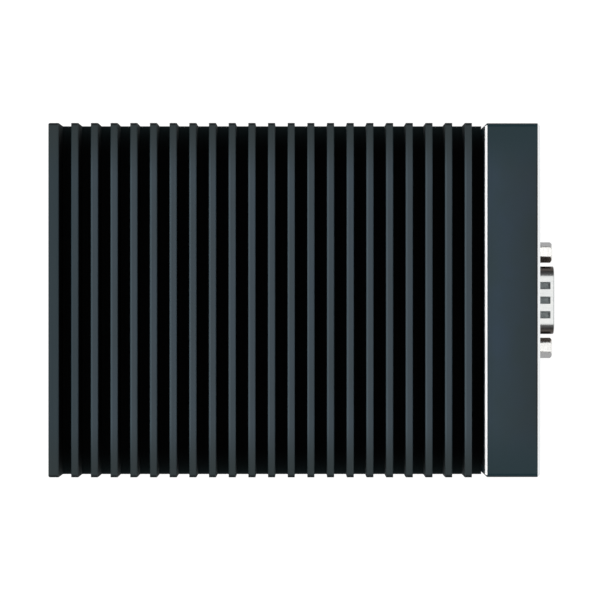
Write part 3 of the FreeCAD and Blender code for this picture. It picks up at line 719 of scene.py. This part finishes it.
s = serialPin
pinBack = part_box("serial_pins")[0].x
profile = [(0, 0), (0, s["radius"])]
profile += rounded(s["length"], s["radius"], s["edge"], 6)
profile[-1] = (s["length"], 0)
pinMesh = turned("serialPin", profile, s["sides"], smooth=60)
pinPlaces = []
for count, side in ((5, 0.5), (4, -0.5)):
    for i in range(count):
        pinPlaces.append((pinBack, (i - (count - 1) / 2) * s["pitch"] * mm,
                          middle("serial_shell").z + side * s["row"] * mm))
pins = repeat("serialPins", pinMesh, pinPlaces, hardGold)
fit(pins, "housing", "gold_contact", "serial_pins")

# Countersunk screws with a hexagonal socket
screw = {"head": 2.72, "shank": 1.5, "edge": 0.12, "tipBevel": 0.3, "socket": 2.0,
         "socketDepth": 1.2, "socketBevel": 0.12, "drill": 0.4, "coverLength": 6.0,
         "turn": 1.04, "sides": 96}


def makeScrew(s, name, length):
    # Head flush at x = 0, pointing forwards
    cone = s["head"] - s["shank"]
    wide = s["socket"] / math.cos(math.pi / 6)
    sides = s["sides"]
    rings = [circle(-length, 0), circle(-length, s["shank"] - s["tipBevel"], sides),
             circle(-length + s["tipBevel"], s["shank"], sides),
             circle(-cone - s["edge"], s["shank"], sides), circle(-s["edge"], s["head"], sides),
             circle(0, s["head"] - s["edge"], sides),
             hexagon(0, s["socket"] + 2 * s["socketBevel"], wide),
             hexagon(-s["socketBevel"], s["socket"], wide),
             hexagon(-s["socketDepth"], s["socket"], wide),
             circle(-s["socketDepth"] - s["drill"], 0)]
    return skin(name, rings, smooth=30)


def family(start):
    return sorted(name for name in nodes if name.startswith(start))


panelPlaces = {}
for node in family("panel_screw"):
    low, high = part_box(node)
    panelPlaces.setdefault(round((high.x - low.x) / mm, 2), []).append(node)
for number, (length, group) in enumerate(sorted(panelPlaces.items()), 1):
    spots = [(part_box(node)[1].x, middle(node).y, middle(node).z) for node in group]
    name = "panelScrews%d" % number
    made = repeat(name, makeScrew(screw, name, length), spots, blackZinc, turn=screw["turn"],
                  seed=number)
    fit(made, "housing", "black_screw", *group)

coverMesh = makeScrew(screw, "coverScrew", screw["coverLength"])
coverMesh.transform(Matrix.Rotation(math.radians(90), 4, "Y"))
spots = [(middle(node).x, middle(node).y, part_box(node)[0].z)
         for node in family("cover_screw")]
made = repeat("coverScrews", coverMesh, spots, blackZinc, axis=(0, 0, 1), turn=screw["turn"],
              seed=5)
fit(made, "housing", "black_screw", *family("cover_screw"))

# Rubber feet: a rounded lower edge round a shallow dish
rubberFoot = {"radius": 4.98, "height": 2.0, "edge": 0.5, "bevel": 0.1, "dish": 0.35, "rim": 3.6,
              "slope": 0.4}

s = rubberFoot
profile = [(0, 0), (0, s["radius"] - s["bevel"]), (s["bevel"], s["radius"])]
profile += rounded(s["height"], s["radius"], s["edge"], 6)
profile += [(s["height"], s["rim"]), (s["height"] - s["dish"], s["rim"] - s["slope"]),
            (s["height"] - s["dish"], 0)]
footMesh = turned("rubberFoot", profile, 64)
footMesh.transform(Matrix.Rotation(math.radians(90), 4, "Y"))
spots = [(middle(node).x, middle(node).y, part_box(node)[1].z) for node in family("foot")]
made = repeat("rubberFeet", footMesh, spots, mouldedRubber)
fit(made, "housing", "rubber", *family("foot"))

# Plugs in the two unused antenna holes: a low dome with a thin rim
antennaPlug = {"head": 4.2, "proud": 0.5, "rim": 0.26, "edge": 0.12, "neck": 3.1, "bevel": 0.3,
               "depth": 3.0}

s = antennaPlug
profile = [(-s["depth"], 0), (-s["depth"], s["neck"] - s["bevel"]),
           (-s["depth"] + s["bevel"], s["neck"]), (0, s["neck"]), (0, s["head"]),
           (s["rim"] - s["edge"], s["head"])]
for t in (1.0, 0.9, 0.75, 0.6, 0.45, 0.3, 0.15, 0.0):
    profile.append((s["rim"] + (s["proud"] - s["rim"]) * (1 - t * t),
                    (s["head"] - s["edge"]) * t))
plugMesh = turned("antennaPlug", profile, 64)
spots = [(frontFace, middle(node).y, middle(node).z) for node in family("antenna_plug")]
made = repeat("antennaPlugs", plugMesh, spots, mouldedNylon)
fit(made, "housing", "black_plastic", *family("antenna_plug"))

# Light pipes: a rod with a domed, frosted end
lightPipe = {"radius": 0.99, "dome": 0.25, "sides": 48}

s = lightPipe
low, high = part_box("light_pipe_1")
length = (high.x - low.x) / mm
profile = [(-length, 0), (-length, s["radius"])]
profile += [(-s["dome"] * t * t, s["radius"] * t) for t in (1, 0.97, 0.85, 0.7, 0.5, 0.3, 0.15, 0)]
pipeMesh = turned("lightPipe", profile, s["sides"])
spots = [(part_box(node)[1].x, middle(node).y, middle(node).z)
         for node in family("light_pipe")]
made = repeat("lightPipes", pipeMesh, spots, frostedAcrylic)
fit(made, "housing", "clear_plastic", *family("light_pipe"))

# Power button: a dished cap on a flange and stem, which stops a little short of the switch
# when it is pressed
powerButton = {"cap": 2.79, "edge": 0.25, "dish": 0.15, "rim": 2.1, "slope": 0.35,
               "flange": 3.5, "flangeThickness": 0.8, "flangeGap": 0.1, "stem": 1.1,
               "stemGap": 0.05}

s = powerButton
low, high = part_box("power_button")
front, back = high.x / mm, low.x / mm + s["stemGap"]
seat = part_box("io_panel")[0].x / mm - s["flangeGap"]
profile = [(back, 0), (back, s["stem"]), (seat - s["flangeThickness"], s["stem"]),
           (seat - s["flangeThickness"], s["flange"]), (seat, s["flange"]), (seat, s["cap"])]
profile += rounded(front, s["cap"], s["edge"], 5)
profile += [(front, s["rim"]), (front - s["dish"] / 2, s["rim"] - s["slope"]),
            (front - s["dish"], s["rim"] / 2), (front - s["dish"], 0)]
button = addObject("powerButton", turned("powerButton", profile, 64))
button.data.transform(Matrix.Translation((0, middle("power_button").y,
                                          middle("power_button").z)))
button.data.materials.append(mouldedPolyester)
fit(button, "button", "black_plastic", "power_button")


# Bent strips: contacts and springs
def strip(name, path, width, thickness):
    # A flat strip across y that follows a path of (x, z) points
    rings = []
    for i, point in enumerate(path):
        ahead = Vector(path[min(i + 1, len(path) - 1)]) - Vector(path[max(i - 1, 0)])
        normal = Vector((-ahead.y, ahead.x)).normalized() * thickness / 2
        ring = []
        for across, side in ((-1, -1), (1, -1), (1, 1), (-1, 1)):
            ring.append(((point[0] + side * normal.x) * mm, across * width / 2 * mm,
                         (point[1] + side * normal.y) * mm))
        rings.append(ring)
    ends = [[tuple(sum(values) / 4 for values in zip(*rings[i]))] for i in (0, -1)]
    return skin(name, [ends[0]] + rings + [ends[1]], smooth=40)


def halfRow(s):
    # From the middle of a row to its first piece
    return (s["count"] - 1) / 2 * s["pitch"] * mm


# USB ports: four contacts under each tongue, and springs that grip the plug
usbContact = {"count": 4, "pitch": 2.3, "width": 1.1, "thickness": 0.22, "length": 7.4,
              "inset": 0.4, "below": 2.18}

s = usbContact
path = [(-s["length"], 0), (-1.4, 0), (-0.7, -0.16), (-0.2, 0.02), (0, 0.16)]
contactMesh = strip("usbContact", path, s["width"], s["thickness"])
spots = []
for node in family("usb_tongue"):
    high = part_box(node)[1]
    spots.append((high.x - s["inset"] * mm, middle(node).y - halfRow(s),
                  high.z - s["below"] * mm))
made = repeat("usbContacts", contactMesh, spots, hardGold, s["count"],
              (0, s["pitch"] * mm, 0))
fit(made, "housing", "gold_contact")

usbSpring = {"count": 2, "pitch": 5.6, "width": 1.9, "thickness": 0.25, "length": 5.6,
             "bow": 0.5, "inset": 0.5, "clear": 0.12, "rise": 0.32}

s = usbSpring
path = [(-s["inset"] - s["length"] * t, s["clear"] + s["bow"] * math.sin(math.pi * t))
        for t in (0.0, 0.15, 0.35, 0.55, 0.75, 0.9, 1.0)]
springMesh = strip("usbSpring", path, s["width"], s["thickness"])
spots = [(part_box(node)[1].x, middle(node).y - halfRow(s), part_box(node)[0].z + s["rise"] * mm)
         for node in family("usb_shell")]
made = repeat("usbSprings", springMesh, spots, tinPlate, s["count"], (0, s["pitch"] * mm, 0))
fit(made, "housing", "plated_steel")

# Network jacks: eight wires that slant into each mouth
jackWire = {"count": 8, "pitch": 1.02, "width": 0.45, "thickness": 0.3, "rise": 3.2}

s = jackWire
path = [(1.0, 6.5), (2.2, 6.45), (3.0, 6.1), (8.6, 3.0), (9.2, 2.8)]
wireMesh = strip("jackWire", path, s["width"], s["thickness"])
spots = [(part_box(node)[0].x, middle(node).y - halfRow(s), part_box(node)[0].z + s["rise"] * mm)
         for node in family("network_jack")]
made = repeat("jackWires", wireMesh, spots, hardGold, s["count"], (0, s["pitch"] * mm, 0))
fit(made, "housing", "gold_contact")

# Video socket: fine contacts on both sides of the tongue
videoContact = {"count": 9, "pitch": 1.0, "width": 0.45, "thickness": 0.12, "length": 4.6,
                "inset": 0.3, "apart": 0.68}

s = videoContact
contactMesh = strip("videoContact", [(0, 0), (0.3, 0.03), (s["length"], 0.03)], s["width"],
                    s["thickness"])
centre = middle("video_shell")
spots = [(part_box("video_tongue")[0].x + s["inset"] * mm, centre.y - halfRow(s),
          centre.z + side * s["apart"] * mm) for side in (-1, 1)]
made = repeat("videoContacts", contactMesh, spots, hardGold, s["count"],
              (0, s["pitch"] * mm, 0))
fit(made, "housing", "gold_contact")


# Studio: a pale floor, soft lamps on both sides and a bright horizon
studio = {"floor": 6.0, "floorColour": "#f2f2f2", "floorShine": 0.78, "floorLight": 1.17,
          "lampSize": 1.3, "lampDistance": 1.7, "lampRise": 38.0, "rearPower": 15.5,
          "frontPower": 7.5, "boxSize": 0.9, "boxHeight": 1.3, "boxShift": 0.04,
          "boxPower": 3.8, "horizon": 1.2, "horizonTop": 0.20, "ringStart": 0.34,
          "ringAcross": 0.14, "ringAlong": 0.42}


def makeFloor(s):
    # Paint, mixed with a white glow that only the camera and reflections see
    half = s["floor"] / 2
    mesh = bpy.data.meshes.new("studioFloor")
    mesh.from_pydata([(-half, -half, 0), (half, -half, 0), (half, half, 0), (-half, half, 0)],
                     [], [(0, 1, 2, 3)])
    material, tree = newMaterial("paleStudioFloor")
    rays = addNode(tree, "ShaderNodeLightPath").outputs
    seen = addNode(tree, "ShaderNodeMath", {"operation": "MAXIMUM"},
                   {0: rays["Is Camera Ray"], 1: rays["Is Glossy Ray"]})
    seen = addNode(tree, "ShaderNodeMath", {"operation": "MAXIMUM"},
                   {0: seen.outputs[0], 1: rays["Is Transmission Ray"]})
    share = addNode(tree, "ShaderNodeMath", {"operation": "MULTIPLY", 1: s["floorShine"]},
                    {0: seen.outputs[0]})
    paint = addNode(tree, "ShaderNodeBsdfDiffuse", {"Color": linear(s["floorColour"])})
    white = addNode(tree, "ShaderNodeEmission", {"Strength": s["floorLight"]})
    mixed = addNode(tree, "ShaderNodeMixShader", {}, {0: share.outputs[0],
                                                      1: paint.outputs[0],
                                                      2: white.outputs[0]})
    addNode(tree, "ShaderNodeOutputMaterial", {}, {"Surface": mixed.outputs[0]})
    mesh.materials.append(material)
    return addObject("studioFloor", mesh)


def makeLamp(name, place, size, power):
    lampData = bpy.data.lights.new(name, "AREA")
    lampData.shape = "SQUARE"
    lampData.size = size
    lampData.energy = power
    lamp = addObject(name, lampData)
    lamp.location = place
    lamp.rotation_euler = Vector(place).to_track_quat("Z", "Y").to_euler()


def makeWorld(s):
    # Bright all round at the horizon, dim higher up, and dimmest on the two long sides
    world = bpy.data.worlds.new("softStudio")
    world.use_nodes = True
    tree = world.node_tree
    tree.nodes.clear()
    direction = addNode(tree, "ShaderNodeTexCoord").outputs["Generated"]
    parts = addNode(tree, "ShaderNodeSeparateXYZ", {}, {0: direction}).outputs
    aside = addNode(tree, "ShaderNodeMath", {"operation": "ARCTAN2"},
                    {0: parts["Y"], 1: parts["X"]})
    facing = addNode(tree, "ShaderNodeMath", {"operation": "COSINE"}, {0: aside.outputs[0]})
    facing = addNode(tree, "ShaderNodeMath", {"operation": "ABSOLUTE"}, {0: facing.outputs[0]})
    ring = addNode(tree, "ShaderNodeMapRange", {3: s["ringAcross"], 4: s["ringAlong"]},
                   {0: facing.outputs[0]})
    level = addNode(tree, "ShaderNodeMapRange",
                    {"interpolation_type": "SMOOTHSTEP", 1: s["horizonTop"], 2: s["ringStart"],
                     3: s["horizon"]}, {0: parts["Z"], 4: ring.outputs[0]})
    light = addNode(tree, "ShaderNodeBackground", {}, {1: level.outputs[0]})
    light.inputs[0].default_value = (1, 1, 1, 1)
    addNode(tree, "ShaderNodeOutputWorld", {}, {"Surface": light.outputs[0]})
    scene.world = world


makeFloor(studio)
rise = math.radians(studio["lampRise"])
across = studio["lampDistance"] * math.cos(rise)
up = studio["lampDistance"] * math.sin(rise)
makeLamp("softLampFront", (across, 0, up), studio["lampSize"], studio["frontPower"])
makeLamp("softLampRear", (-across, 0, up), studio["lampSize"], studio["rearPower"])
makeLamp("softBoxAbove", (studio["boxShift"], 0, studio["boxHeight"]), studio["boxSize"],
         studio["boxPower"])
makeWorld(studio)
print("studio lit")
